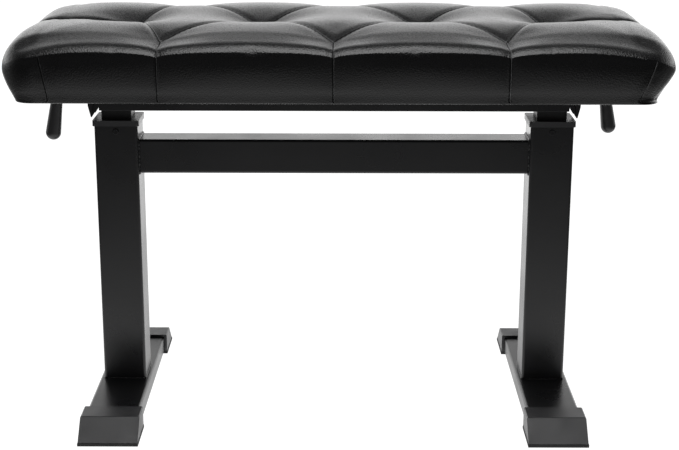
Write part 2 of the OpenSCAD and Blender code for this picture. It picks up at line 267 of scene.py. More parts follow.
def painted_seam_highlight():
    """The edge beside each seam, smoother than the cover, with a painted highlight: its pale colour stands
    in for light catching the lip.
    """
    mat, tree, shader = new_material("painted_seam_highlight", (0.15, 0.15, 0.155), 0.34)
    at = coordinates(tree)
    # The painted highlight is patchy: its strength varies at random over the lip.
    highlight_patches = noise(tree, at, 220, 3.0)
    bump(tree, shader, noise(tree, at, 1400, 2.0), 0.00006, 0.4)
    tint(tree, shader, highlight_patches, (0.07, 0.07, 0.072), (0.2, 0.2, 0.205))
    return mat


def dust_cloth():
    """Black spunbond cloth with its pattern of small pressed points."""
    mat, tree, shader = new_material("dust_cloth", (0.012, 0.012, 0.013), 0.9)
    at = coordinates(tree)
    fibres = noise(tree, at, 900, 4.0, 0.7)
    points = add_node(tree, "ShaderNodeTexVoronoi", {"Vector": at, "Scale": 520.0})
    points.inputs["Randomness"].default_value = 0.15
    low = bump(tree, shader, fibres, 0.0002, 0.7)
    bump(tree, shader, points.outputs["Distance"], 0.0002, 0.5, low)
    tint(tree, shader, fibres, (0.008, 0.008, 0.009), (0.022, 0.022, 0.024))
    return mat


def weld_metal():
    """Coated weld: the same black coat over a coarse bead."""
    mat, tree, shader = new_material("weld_coat", (0.012, 0.012, 0.013), 0.22)
    at = coordinates(tree)
    bump(tree, shader, noise(tree, at, 500, 4.0, 0.6), 0.0004, 0.6)
    return mat


COAT = powder_coat()
# A darker, rougher copy of the black coat for the inner columns: its darkness is painted shade, for the
# shade under the seat beam.
SHADED_SLIDE = textured_plastic("slide_coat_painted_shade", (0.003, 0.003, 0.003), (0.006, 0.006, 0.006), 0.42)
CAP = textured_plastic("cap_plastic", (0.03, 0.03, 0.032), (0.042, 0.042, 0.044), 0.38)
SOLE = textured_plastic("sole_rubber", (0.006, 0.006, 0.006), (0.01, 0.01, 0.01), 0.7)
GRIP = textured_plastic("grip_plastic", (0.028, 0.028, 0.029), (0.042, 0.042, 0.044), 0.36)
ZINC = zinc()
CHROME = chrome()
PLY = plywood()
LEATHER = leatherette()
SEAM = seam_fold()
# Pale colour for the lips to the right of the seams: a painted highlight.
SEAM_PAINTED_HIGHLIGHT = painted_seam_highlight()
DUST = dust_cloth()
WELD = weld_metal()
SLOT_MATERIALS = {
    "black_powder_coat": COAT, "black_screw": COAT, "cap_plastic": CAP, "grip_plastic": GRIP,
    "zinc_steel": ZINC, "chrome_rod": CHROME, "plywood": PLY, "black_leatherette": LEATHER,
    "dust_cloth": DUST, "tuft_thread": DUST, "foam": DUST,
}


# ---------------------------------------------------------------- CAD nodes

# Width in millimetres of the rounded edges, for the nodes whose names start so.
ROUNDED = {"foot_cap": 0.9, "guide_bush_left": 0.7, "guide_bush_right": 0.7, "lever_bracket": 0.4,
           "column_head": 0.5, "cross_plate": 0.4, "seat_beam": 0.5}
DOUBLED_POINTS = 0.01 * MM
SHARP_EDGE = math.radians(35)


def paint_cad():
    """Gives each CAD node its slot's material, and rounds the moulded, cut and bent parts."""
    for part in frame["record"]["subparts"]:
        name = part["node"]
        obj = frame["nodes"][name]
        obj.data.materials.clear()
        obj.data.materials.append(SLOT_MATERIALS[part["material_slot"]])
        for start, width in ROUNDED.items():
            if name.startswith(start):
                round_edges(obj, width * MM)
        # The inner columns take the darker copy of the coat, which paints their shade into the colour.
        if name.startswith("inner_column"):
            obj.data.materials[0] = SHADED_SLIDE


def round_edges(obj, width):
    """Joins the mesh's doubled points and bevels its sharp edges."""
    weld = obj.modifiers.new("weld", "WELD")
    weld.merge_threshold = DOUBLED_POINTS
    bevel = obj.modifiers.new("round", "BEVEL")
    bevel.width = width
    bevel.segments = 2
    bevel.limit_method = "ANGLE"
    bevel.angle_limit = SHARP_EDGE
    bevel.harden_normals = True


paint_cad()


# ---------------------------------------------------------------- welds, soles and threads

BAR_BEAD = 1.6 * MM
FOOT_BEAD = 0.6 * MM
BEAD_SIDES = 8
PATH_STEPS = 25
SOLE_PROUD = 0.5 * MM
SOLE_TOP = 3.8 * MM
SOLE_EDGE = 0.6 * MM
OFF_FLOOR = 0.02 * MM


def square_path(centre, across, along, half):
    """A closed square of points round centre, in the plane of two axes."""
    centre, across, along = (np.array(v, float) for v in (centre, across, along))
    corners = [(-half, -half), (half, -half), (half, half), (-half, half)]
    points = []
    for (a, b), (c, d) in zip(corners, corners[1:] + corners[:1]):
        for t in np.linspace(0, 1, PATH_STEPS + 1)[:-1]:
            points.append(centre + across * (a + (c - a) * t) + along * (b + (d - b) * t))
    return np.array(points)


def bead_points(path, radius):
    """Rings of points along a flat closed path, with a slight ripple in their size."""
    ahead = np.roll(path, -1, axis=0) - np.roll(path, 1, axis=0)
    ahead /= np.linalg.norm(ahead, axis=1)[:, None]
    normal = np.cross(path[PATH_STEPS] - path[0], path[2 * PATH_STEPS] - path[0])
    normal /= np.linalg.norm(normal)
    points = []
    for k, (at, way) in enumerate(zip(path, ahead)):
        size = radius * (1 + 0.16 * math.cos(k * 2.1) + 0.08 * math.sin(k * 0.9))
        out = np.cross(way, normal)
        for n in range(BEAD_SIDES):
            turn = 2 * math.pi * n / BEAD_SIDES
            points.append(at + size * (math.cos(turn) * out + math.sin(turn) * normal))
    return points


def bead_faces(first, count):
    """Faces that join each of count rings to the next, and the last to the first."""
    faces = []
    for k in range(count):
        near, far = first + k * BEAD_SIDES, first + (k + 1) % count * BEAD_SIDES
        for n in range(BEAD_SIDES):
            m = (n + 1) % BEAD_SIDES
            faces.append((near + n, far + n, far + m, near + m))
    return faces


def make_welds():
    """Weld beads round both ends of the crossbar, and round the foot of each column."""
    bar_low, bar_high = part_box("crossbar_tube")
    bar_half = (bar_high.z - bar_low.z) / 2
    bars, feet = [], []
    for side in ("left", "right"):
        column_low, column_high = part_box("column_tube_" + side)
        face_x = column_high.x if side == "left" else column_low.x
        middle = (bar_low + bar_high) / 2
        bars.append((square_path((face_x, middle.y, middle.z), (0, 1, 0), (0, 0, 1), bar_half), BAR_BEAD))
        foot_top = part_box("foot_tube_" + side)[1].z
        column = (column_low + column_high) / 2
        half = (column_high.x - column_low.x) / 2
        feet.append((square_path((column.x, column.y, foot_top), (1, 0, 0), (0, 1, 0), half), FOOT_BEAD))
    points, faces = [], []
    for path, radius in bars + feet:
        faces += bead_faces(len(points), len(path))
        points += bead_points(path, radius)
    welds = mesh_object("weld_beads", points, faces, WELD)
    welds.data.shade_smooth()
    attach(welds, "base")


def box_mesh(low, high):
    """A closed box between two corners."""
    xs, ys, zs = zip(low, high)
    corners = [(x, y, z) for z in zs for y in ys for x in xs]
    faces = [(0, 2, 3, 1), (4, 5, 7, 6), (0, 1, 5, 4), (2, 6, 7, 3), (0, 4, 6, 2), (1, 3, 7, 5)]
    return corners, faces


def make_soles():
    """The slightly proud rubber sole round the bottom of each end cap."""
    for end in ("front", "rear"):
        for side in ("left", "right"):
            low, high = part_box("foot_cap_" + end + "_" + side)
            corners, faces = box_mesh((low.x - SOLE_PROUD, low.y - SOLE_PROUD, OFF_FLOOR),
                                      (high.x + SOLE_PROUD, high.y + SOLE_PROUD, SOLE_TOP))
            sole = mesh_object("cap_sole_" + end + "_" + side, corners, faces, SOLE)
            round_edges(sole, SOLE_EDGE)
            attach(sole, "base")


def tube_mesh(at, low, high, radius, sides=10):
    """A closed upright cylinder at a place in plan."""
    turns = [2 * math.pi * n / sides for n in range(sides)]
    ring = [(at[0] + radius * math.cos(turn), at[1] + radius * math.sin(turn)) for turn in turns]
    points = [(x, y, z) for z in (low, high) for x, y in ring]
    faces = [(n, (n + 1) % sides, sides + (n + 1) % sides, sides + n) for n in range(sides)]
    faces += [tuple(range(sides - 1, -1, -1)), tuple(range(sides, 2 * sides))]
    return points, faces


make_welds()
make_soles()


# ---------------------------------------------------------------- stage and light

FLOOR_HALF = 8.0
FLOOR_RAMP_REACH = 3.0
# How brightly the floor glows, from 3 m in front of the bench (0) to 3 m behind it (1).
FLOOR_RAMP = [(0.0, 0.17), (0.23, 0.18), (0.31, 0.26), (0.38, 0.4), (0.43, 0.66), (0.47, 1.0),
              (0.56, 1.15), (0.64, 1.5), (0.78, 1.9)]
# The glow fades from full to faint between two distances out to the side. Both are shorter by
# FLOOR_FADE_LEAN for each metre in front of the bench, and as much longer behind it.
FLOOR_FADE = (0.55, 0.9, 1.0, 0.12)
FLOOR_FADE_LEAN = 0.3
# How bright the surroundings are, by the upward part of the direction: level is 0, straight up is 1.
SKY_RAMP = [(0.0, 2.0), (0.14, 1.8), (0.2, 1.4), (0.3, 1.2), (0.4, 0.9), (0.46, 0.62), (0.54, 0.36),
            (0.66, 0.22), (0.8, 0.15), (1.0, 0.1)]
# The surroundings brighten between two values of the direction's Y, from dim in front to full behind.
SKY_FADE = (-0.1, 0.5, 0.08, 1.0)
SOFTBOX = {"at": (0, -0.4, 2.1), "aim": (0, -0.25, 0.4), "size": (1.3, 1.2), "power": 25}
SEEN_WHITE = 1.05


def make_stage():
    """Floor that glows softly, brighter behind the bench than in front of it."""
    half = FLOOR_HALF
    corners = [(-half, -half, 0), (half, -half, 0), (half, half, 0), (-half, half, 0)]
    floor = mesh_object("floor", corners, [(0, 1, 2, 3)], floor_material())


def floor_material():
    """The floor's glow, which also falls off to both sides in front."""
    mat, tree, shader = new_material("floor", (0.1, 0.1, 0.1), 0.9, Specular_IOR_Level=0.0)
    coord = add_node(tree, "ShaderNodeTexCoord")
    split = add_node(tree, "ShaderNodeSeparateXYZ", {0: coord.outputs["Object"]})
    along = remap(tree, split.outputs["Y"], -FLOOR_RAMP_REACH, FLOOR_RAMP_REACH, 0.0, 1.0)
    ramp = add_node(tree, "ShaderNodeValToRGB", {"Fac": along})
    set_ramp(ramp, FLOOR_RAMP)
    wide = add_node(tree, "ShaderNodeMath", {0: split.outputs["X"]}, operation="ABSOLUTE")
    lean = add_node(tree, "ShaderNodeMath",
                    {0: split.outputs["Y"], 1: -FLOOR_FADE_LEAN, 2: wide.outputs["Value"]},
                    operation="MULTIPLY_ADD")
    side = remap(tree, lean.outputs["Value"], *FLOOR_FADE)
    tree.links.new(plain_when_seen(tree, side), shader.inputs["Emission Strength"])
    tree.links.new(plain_when_seen(tree, ramp.outputs["Color"]), shader.inputs["Emission Color"])
    return mat


def plain_when_seen(tree, graded):
    """White where the stage itself is seen, and graded light where it only lights the bench."""
    path = add_node(tree, "ShaderNodeLightPath")
    mix = add_node(tree, "ShaderNodeMix", {"Factor": path.outputs["Is Camera Ray"]}, data_type="RGBA")
    tree.links.new(graded, mix.inputs["A"])
    mix.inputs["B"].default_value = (SEEN_WHITE, SEEN_WHITE, SEEN_WHITE, 1)
    return mix.outputs["Result"]


def set_ramp(ramp, stops):
    """Grey stops, each a place from 0 to 1 with its brightness."""
    elements = ramp.color_ramp.elements
    while len(elements) < len(stops):
        elements.new(0.5)
    for element, (at, value) in zip(elements, stops):
        element.position = at
        element.color = (value, value, value, 1)


def area_light(name, at, aim, size, power):
    """A rectangular lamp, aimed at a point."""
    data = bpy.data.lights.new(name, "AREA")
    data.shape = "RECTANGLE"
    data.size, data.size_y = size
    data.energy = power
    lamp = bpy.data.objects.new(name, data)
    lamp.location = at
    lamp.rotation_euler = (Vector(aim) - Vector(at)).to_track_quat("-Z", "Y").to_euler()
    bpy.context.scene.collection.objects.link(lamp)


def make_light():
    """Surroundings bright behind the bench and dark in front of it, and one softbox overhead."""
    world = bpy.data.worlds.new("studio")
    bpy.context.scene.world = world
    world.use_nodes = True
    tree = world.node_tree
    coord = add_node(tree, "ShaderNodeTexCoord")
    split = add_node(tree, "ShaderNodeSeparateXYZ", {0: coord.outputs["Generated"]})
    height = add_node(tree, "ShaderNodeValToRGB", {"Fac": split.outputs["Z"]})
    set_ramp(height, SKY_RAMP)
    front = remap(tree, split.outputs["Y"], *SKY_FADE)
    both = add_node(tree, "ShaderNodeVectorMath", {0: height.outputs["Color"], 1: front},
                    operation="MULTIPLY")
    background = tree.nodes["Background"]
    tree.links.new(plain_when_seen(tree, both.outputs["Vector"]), background.inputs["Color"])
    background.inputs["Strength"].default_value = 1.0
    area_light("softbox", **SOFTBOX)
    bpy.context.scene.view_settings.view_transform = "Standard"


make_stage()
make_light()


# ---------------------------------------------------------------- seat

# The outline of the top, which stands a little out past the CAD cover at both ends.
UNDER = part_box("seat_cover")[0].z
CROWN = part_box("seat_cover")[1].z
HALF_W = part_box("seat_cover")[1].x + 7 * MM
HALF_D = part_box("seat_cover")[1].y
CENTRE_X = 5.5 * MM
CORNER_R = 40 * MM
# The smaller outline at the bottom of the sides.
BASE_W, BASE_D, BASE_R = 343 * MM, 161 * MM, 18 * MM
# Where the tufts and the corner seams are, and how far each row of tufts is out of line: front,
# middle, back.
TUFT_X = {"side": 185 * MM, "inner": 90 * MM, "outer": 236 * MM}
TUFT_Y = 124 * MM
ROW_SHIFT = (-6 * MM, 1.5 * MM, 1 * MM)
CORNER_SEAM_X = (-311 * MM, 338 * MM)
# Mesh steps along a diagonal seam, an end and a long margin, and rows down the sides.
DIAGONAL_STEPS = 20
END_STEPS = 26
MARGIN_STEPS = 11
SIDE_ROWS = 12
# Depth of the dimple at each tuft of the front, middle and back row, and how wide it is.
FRONT_PIT, MIDDLE_PIT, BACK_PIT = 8.5 * MM, 14.5 * MM, 5.5 * MM
PIT_REACH = 36 * MM
HOLLOW, HOLLOW_REACH = 2.2 * MM, 60 * MM
CORNER_DROP, CORNER_REACH = 11 * MM, 55 * MM
# How far the rim drops where it rolls over, and how far in the crown goes on rising.
FRONT_ROLL, END_ROLL = 8.5 * MM, 32 * MM
CROWN_REACH, CROWN_LIFT = 90 * MM, 0.6 * MM
# In millimetres: how wide the roll is with what an end adds, and how far the shoulder lies below
# the crown with what an end takes off.
ROLL_WIDTH, ROLL_END_MORE = 22, 6
SHOULDER_DROP, SHOULDER_END_LESS = 10, 5
# Half the width of a seam's groove, and how far its bottom, flanks and lips stand off the cover.
GROOVE_HALF = 1.1 * MM
LIP_PROFILE = (-2.4 * MM, -0.3 * MM, 0.35 * MM)
# How far the cloth may move a point, how hard it swells, and for how many frames.
CLOTH_CAP = 4 * MM
CLOTH_PRESSURE = 3.5
CLOTH_FRAMES = 20
# How near a seam or a tuft the cloth is pinned, and how firmly at a seam; a tuft holds it fully.
SEAM_PIN_REACH, TUFT_PIN_REACH = 1 * MM, 4 * MM
SEAM_PIN = 0.5
# The hem under the board, the gap to the board, the twine with its depth below the crown, and the
# dust cloth.
HEM, HEM_THICK, HEM_CORNER = 25 * MM, 1.2 * MM, 8 * MM
BOARD_GAP, BOARD_CORNER = 0.15 * MM, 14 * MM
TWINE_RADIUS = 0.9 * MM
EDGE_TWINE_TOP, MIDDLE_TWINE_TOP = 15 * MM, 21 * MM
SHEET_THICK = 0.4 * MM
SHEET_SAG = 1.6 * MM
SHEET_POINTS = (78, 34)
SHEET_GAP = 0.02 * MM
PLATE_REACH = 30 * MM


def spaced(low, high, steps):
    """Even steps from low, without high itself."""
    return list(np.linspace(low, high, steps + 1)[:-1])


def eased(low, high, steps):
    """Lines from low to high that crowd together towards high, where the cover rolls over."""
    t = np.linspace(0, 1, steps + 1)[1:]
    return list(low + (high - low) * np.sin(t * math.pi / 2) ** 0.9)


def grid_lines():
    """Grid lines in X and Y that pass through every tuft, so that each seam follows mesh edges."""
    side, inner, outer = TUFT_X["side"], TUFT_X["inner"], TUFT_X["outer"]
    stops = [-outer, -side, -inner, 0, inner, side, outer]
    middle = []
    for low, high in zip(stops[:-1], stops[1:]):
        middle += spaced(low, high, DIAGONAL_STEPS)
    end = eased(outer, HALF_W, END_STEPS)
    xs = [-x for x in end[::-1]] + middle + [outer] + end
    margin = eased(TUFT_Y, HALF_D, MARGIN_STEPS)
    rows = spaced(-TUFT_Y, 0, DIAGONAL_STEPS) + spaced(0, TUFT_Y, DIAGONAL_STEPS) + [TUFT_Y]
    ys = [-y for y in margin[::-1]] + rows + margin
    return np.array(xs), np.array(ys)


def tuft_chain():
    """The zigzag of tufts in each half of the top: X, with 0 for the middle row or 1 for the outer."""
    side, inner, outer = TUFT_X["side"], TUFT_X["inner"], TUFT_X["outer"]
    return [(-outer, 0), (-side, 1), (-inner, 0), (0, 1), (inner, 0), (side, 1), (outer, 0)]


def seam_segments():
    """Seams of the top as pairs of points: the diamonds, and the runs out to the edges."""
    seams = []
    for row in (-1, 1):
        points = [(x, row * TUFT_Y * out) for x, out in tuft_chain()]
        seams += list(zip(points[:-1], points[1:]))
        seams += [((x, row * TUFT_Y), (x, row * HALF_D)) for x in (-TUFT_X["side"], 0, TUFT_X["side"])]
    return seams + end_seams()


def end_seams():
    """The two seams that run from the outermost tufts to the ends."""
    return [((side * TUFT_X["outer"], 0), (side * HALF_W, 0)) for side in (-1, 1)]


def edge_points():
    """The front row of tufts, then the back row."""
    return [(x, y) for y in (-TUFT_Y, TUFT_Y) for x in (-TUFT_X["side"], 0, TUFT_X["side"])]


def middle_points():
    """The middle row of tufts."""
    return [(side * TUFT_X[name], 0) for side in (-1, 1) for name in ("inner", "outer")]


def distance_to_segment(x, y, a, b):
    """Distance in plan from each point to the line between a and b."""
    ax, ay = a
    bx, by = b
    length2 = (bx - ax) ** 2 + (by - ay) ** 2
    t = np.clip(((x - ax) * (bx - ax) + (y - ay) * (by - ay)) / length2, 0, 1)
    return np.hypot(x - ax - t * (bx - ax), y - ay - t * (by - ay))


def seam_distance(x, y):
    """Distance in plan to the nearest seam of the top."""
    return np.min([distance_to_segment(x, y, a, b) for a, b in seam_segments()], axis=0)


def points_distance(x, y, points):
    """Distance in plan to the nearest of some points."""
    return np.min([np.hypot(x - tx, y - ty) for tx, ty in points], axis=0)


def rim_place(x, y):
    """Distance in from the rounded outline, and how far the nearest edge is an end: 0 to 1."""
    qx = np.abs(x) - (HALF_W - CORNER_R)
    qy = np.abs(y) - (HALF_D - CORNER_R)
    over_x, over_y = np.maximum(qx, 0), np.maximum(qy, 0)
    inside = CORNER_R - np.hypot(over_x, over_y) - np.minimum(np.maximum(qx, qy), 0)
    share = (over_x ** 2 + 1e-12) / (over_x ** 2 + over_y ** 2 + 2e-12)
    return np.maximum(inside, 0), share


def round_corner(x, y):
    """Pulls the square grid's corners in to the rounded outline."""
    u = np.clip((np.abs(x) - (HALF_W - CORNER_R)) / CORNER_R, 0, 1)
    v = np.clip((np.abs(y) - (HALF_D - CORNER_R)) / CORNER_R, 0, 1)
    dx = CORNER_R * u * (np.sqrt(1 - v * v / 2) - 1)
    dy = CORNER_R * v * (np.sqrt(1 - u * u / 2) - 1)
    return x + np.sign(x) * dx, y + np.sign(y) * dy


def cornerness(x, y):
    """1 at the four corners of the top, and falling off to 0 away from them."""
    gap = np.hypot(HALF_W - np.abs(x), HALF_D - np.abs(y))
    return np.exp(-(gap / CORNER_REACH) ** 2)


PLEAT_HEIGHT, PLEAT_START, PLEAT_REACH = 0.55 * MM, 4 * MM, 11 * MM


def pleats(x, y, points):
    """Small folds that fan out from each tuft."""
    total = 0
    for k, (tx, ty) in enumerate(points):
        gap = np.hypot(x - tx, y - ty)
        turn = np.arctan2(y - ty, x - tx)
        wave = np.cos(9 * turn + 1.7 * k) + 0.6 * np.cos(5 * turn + 2.3 * k)
        total = total + PLEAT_HEIGHT * wave * np.exp(-gap / PLEAT_REACH) * (1 - np.exp(-gap / PLEAT_START))
    return total


EDGE_REACH = 18 * MM
# In millimetres: half the width of a seam's valley, and its depth, each with what the rim adds.
VALLEY_HALF, VALLEY_HALF_MORE = 9, 34
VALLEY_DEPTH, VALLEY_DEPTH_MORE = 3.0, 1.8
END_VALLEY, END_VALLEY_HALF = 5.0 * MM, 16 * MM


def seam_dip(x, y, inside):
    """Depth of the valley along the seams: shallow across the top, deeper along the two end seams."""
    near_edge = np.exp(-inside / EDGE_REACH)
    t = np.clip(seam_distance(x, y) / ((VALLEY_HALF + VALLEY_HALF_MORE * near_edge) * MM), 0, 1)
    ends = np.minimum(*(distance_to_segment(x, y, a, b) for a, b in end_seams()))
    end_t = np.clip(ends / END_VALLEY_HALF, 0, 1)
    flank = (VALLEY_DEPTH + VALLEY_DEPTH_MORE * near_edge) * MM * (1 - np.sqrt(1 - (1 - t) ** 2))
    return flank + END_VALLEY * (1 - np.sqrt(1 - (1 - end_t) ** 2))


def pit(x, y, points, depth):
    """A wide dimple round each tuft, with a point at its bottom."""
    return depth * np.exp(-(points_distance(x, y, points) / PIT_REACH) ** 1.5)


def top_height(x, y):
    """Height of the tufted top: lobes between the tufts' dimples, rolled over at the rim."""
    inside, end = rim_place(x, y)
    roll_in = (ROLL_WIDTH + ROLL_END_MORE * end) * MM
    t = np.clip(1 - inside / roll_in, 0, 1)
    front_roll = FRONT_ROLL * t ** 2.8
    end_roll = END_ROLL * (1 - np.sqrt(1 - t ** 2))
    roll = front_roll + (end_roll - front_roll) * end ** 1.3
    shoulder = CROWN - (SHOULDER_DROP - SHOULDER_END_LESS * end) * MM
    climb = 1 - np.clip((inside - roll_in) / CROWN_REACH, 0, 1)
    rise = (CROWN - shoulder) * (1 - climb ** 2)
    drop = CORNER_DROP * cornerness(x, y) * (1 - 0.2 * end)
    folds = pleats(x, y, edge_points() + middle_points())
    return shoulder + rise + CROWN_LIFT - roll - seam_dip(x, y, inside) - tuft_depth(x, y) - drop + folds


def tuft_depth(x, y):
    """Depth of the three rows of dimples, and of the shallow hollow along the middle row."""
    front_row, back_row = edge_points()[:3], edge_points()[3:]
    depth = pit(x, y, front_row, FRONT_PIT) + pit(x, y, middle_points(), MIDDLE_PIT)
    depth += pit(x, y, back_row, BACK_PIT)
    return depth + HOLLOW * np.exp(-(y / HOLLOW_REACH) ** 2)


def loop_indices(nx, ny):
    """Indices of the top grid's rim, in order round it."""
    rim = list(range(nx))
    rim += [(j + 1) * nx - 1 for j in range(1, ny)]
    rim += [(ny - 1) * nx + i for i in range(nx - 2, -1, -1)]
    rim += [j * nx for j in range(ny - 2, 0, -1)]
    return np.array(rim)


def outline(plan, half_w, half_d, radius):
    """The rim's plan points carried onto another rounded outline."""
    core_w, core_d = HALF_W - CORNER_R, HALF_D - CORNER_R
    core = np.clip(plan, (-core_w, -core_d), (core_w, core_d))
    way = plan - core
    way /= np.linalg.norm(way, axis=1)[:, None]
    stretch = np.array([half_w - radius - core_w, half_d - radius - core_d])
    return core + stretch * np.sign(core) * (np.abs(core) / (core_w, core_d)) ** 4 + way * radius


def inward_of_corner_seam(x):
    """How far towards the middle of the seat a place is from the corner seam on its side."""
    left, right = CORNER_SEAM_X
    return np.where(x < 0, x - left, right - x)


def side_seam_gap(plan):
    """Distance along the rim to the nearest side seam, and apart from it to the corner seam."""
    x, y = np.abs(plan[:, 0]), np.abs(plan[:, 1])
    long_side = y > HALF_D - CORNER_R
    gap = np.where(long_side, np.minimum(x, np.abs(x - TUFT_X["side"])), y)
    corner_gap = np.where(long_side, np.abs(inward_of_corner_seam(plan[:, 0])), 1.0)
    return gap, corner_gap


LOWEST_ROW = 2.0 * MM
# How far the side seams draw the cover in, and how far along the side that reaches.
SEAM_PULL, SEAM_PULL_REACH = 2.6 * MM, 15 * MM
CORNER_PULL, CORNER_PULL_REACH = 1.2 * MM, 9 * MM
CORNER_TUCK, CORNER_TUCK_REACH = 13 * MM, 26 * MM
PUCKER_HEIGHT, PUCKER_REACH = 1.3 * MM, 7 * MM
FOLD_HEIGHT, FOLD_REACH = 1.1 * MM, 5 * MM


def side_plan(plan, t):
    """The rim carried a share t down the side: leaning in, swelling out, and drawn in at the seams."""
    base = outline(plan, BASE_W, BASE_D, BASE_R)
    _, end = rim_place(plan[:, 0], plan[:, 1])
    gap, corner_gap = side_seam_gap(plan)
    pull = SEAM_PULL * np.exp(-gap / SEAM_PULL_REACH) + CORNER_PULL * np.exp(-corner_gap / CORNER_PULL_REACH)
    outward = np.where(end[:, None] > 0.5, np.sign(plan) * (1, 0), np.sign(plan) * (0, 1))
    lean = (t ** 1.9) * (1 - end) + (t ** 1.25) * end
    swell = (2.4 * (1 - end) + 0.6 * end) * MM * math.sin(math.pi * min(1, 1.25 * t)) ** 0.6
    dent = pull * math.sin(math.pi * (0.12 + 0.83 * t))
    flat = plan + (base - plan) * lean[:, None] + outward * (swell - dent)[:, None]
    flat[:, 0] -= np.sign(plan[:, 0]) * CORNER_TUCK * t * np.exp(-(corner_gap / CORNER_TUCK_REACH) ** 2)
    flat[:, 1] -= np.sign(plan[:, 1]) * corner_folds(plan, corner_gap, t)
    return flat


def side_rows(points, rim, faces):
    """Adds the rows down the sides, from the rim to just above the underside."""
    plan = points[rim][:, :2]
    low_z = UNDER + LOWEST_ROW
    rim_z = points[rim][:, 2]
    above = rim
    rows = []
    for k in range(1, SIDE_ROWS + 1):
        t = k / SIDE_ROWS
        ring = np.column_stack([side_plan(plan, t), rim_z + (low_z - rim_z) * t])
        row = np.arange(len(points), len(points) + len(rim))
        points = np.vstack([points, ring])
        add_band(faces, above, row)
        rows.append(row)
        above = row
    return points, rows


def corner_folds(plan, corner_gap, t):
    """Puckers at the top of each corner seam, and one soft fold that runs down from them."""
    pucker = PUCKER_HEIGHT * np.exp(-(corner_gap / PUCKER_REACH) ** 2) * math.exp(-4 * t) * math.cos(18 * t)
    beside = inward_of_corner_seam(plan[:, 0]) - (4 + 22 * t) * MM
    fold = FOLD_HEIGHT * np.exp(-(beside / FOLD_REACH) ** 2) * math.sin(math.pi * t)
    return pucker + np.where(corner_gap < 0.5, fold, 0)


def add_band(faces, above, row):
    """Adds the faces between one closed row of points and the next."""
    for n in range(len(row)):
        m = (n + 1) % len(row)
        faces.append((above[n], row[n], row[m], above[m]))


def top_faces(xs, ys):
    """Faces of the top's grid; a cell that a diagonal seam crosses is split along it."""
    nx, ny = len(xs), len(ys)
    slopes = seam_cells(xs, ys)
    faces = []
    for j in range(ny - 1):
        for i in range(nx - 1):
            a, b, c, d = j * nx + i, j * nx + i + 1, (j + 1) * nx + i + 1, (j + 1) * nx + i
            slope = slopes.get((i, j))
            if slope == 1:
                faces += [(a, b, c), (a, c, d)]
            elif slope == -1:
                faces += [(a, b, d), (b, c, d)]
            else:
                faces.append((a, b, c, d))
    return faces


def seam_cells(xs, ys):
    """The grid cells that a diagonal seam crosses, with the way each one slopes."""
    cells = {}
    stops = [x for x, _ in tuft_chain()]
    middle = int(np.argmin(np.abs(ys)))
    for k, low in enumerate(stops[:-1]):
        first = int(np.argmin(np.abs(xs - low)))
        outward = k % 2 == 0
        for n in range(DIAGONAL_STEPS):
            step = n if outward else DIAGONAL_STEPS - 1 - n
            cells[(first + n, middle - 1 - step)] = -1 if outward else 1
            cells[(first + n, middle + step)] = 1 if outward else -1
    return cells


def seam_edges(xs, ys, rim, rows):
    """Every mesh edge that lies on a seam, as pairs of point indices."""
    nx = len(xs)
    middle = int(np.argmin(np.abs(ys)))
    edges = []
    for (i, j), slope in seam_cells(xs, ys).items():
        start, finish = (i, i + 1) if slope == 1 else (i + 1, i)
        edges.append((j * nx + start, (j + 1) * nx + finish))
    low_row, high_row = MARGIN_STEPS, len(ys) - 1 - MARGIN_STEPS
    for x in (-TUFT_X["side"], 0, TUFT_X["side"]):
        i = int(np.argmin(np.abs(xs - x)))
        edges += [(j * nx + i, (j + 1) * nx + i) for j in [*range(low_row), *range(high_row, len(ys) - 1)]]
    for i in [*range(END_STEPS), *range(nx - 1 - END_STEPS, nx - 1)]:
        edges.append((middle * nx + i, middle * nx + i + 1))
    place = {int(v): n for n, v in enumerate(rim)}
    starts = []
    for x in (CORNER_SEAM_X[0], -TUFT_X["side"], 0, TUFT_X["side"], CORNER_SEAM_X[1]):
        i = int(np.argmin(np.abs(xs - x)))
        starts += [place[i], place[(len(ys) - 1) * nx + i]]
    starts += [place[middle * nx], place[middle * nx + nx - 1]]
    for n in starts:
        column = [rim[n]] + [row[n] for row in rows]
        edges += list(zip(column[:-1], column[1:]))
    return [tuple(sorted((int(a), int(b)))) for a, b in edges]


def make_skin():
    """The seat's cover from the tufted top to its lower edge, still open underneath."""
    xs, ys = grid_lines()
    grid_x, grid_y = (a.ravel() for a in np.meshgrid(xs, ys))
    x, y = round_corner(grid_x, grid_y)
    points = np.column_stack([x, y, top_height(x, y)])
    faces = top_faces(xs, ys)
    rim = loop_indices(len(xs), len(ys))
    points, rows = side_rows(points, rim, faces)
    return points, faces, rim, rows, seam_edges(xs, ys, rim, rows)


def shift_rows(points):
    """The seat sits a little right of the frame, and its tuft rows are not quite in line."""
    t = np.clip((points[:, 1] + TUFT_Y) / TUFT_Y, 0, 2)
    front, middle, back = ROW_SHIFT
    slide = np.where(t < 1, front + (middle - front) * t, middle + (back - middle) * (t - 1))
    inside = 1 - np.clip(np.abs(points[:, 0]) / HALF_W, 0, 1) ** 6
    return CENTRE_X + slide * inside


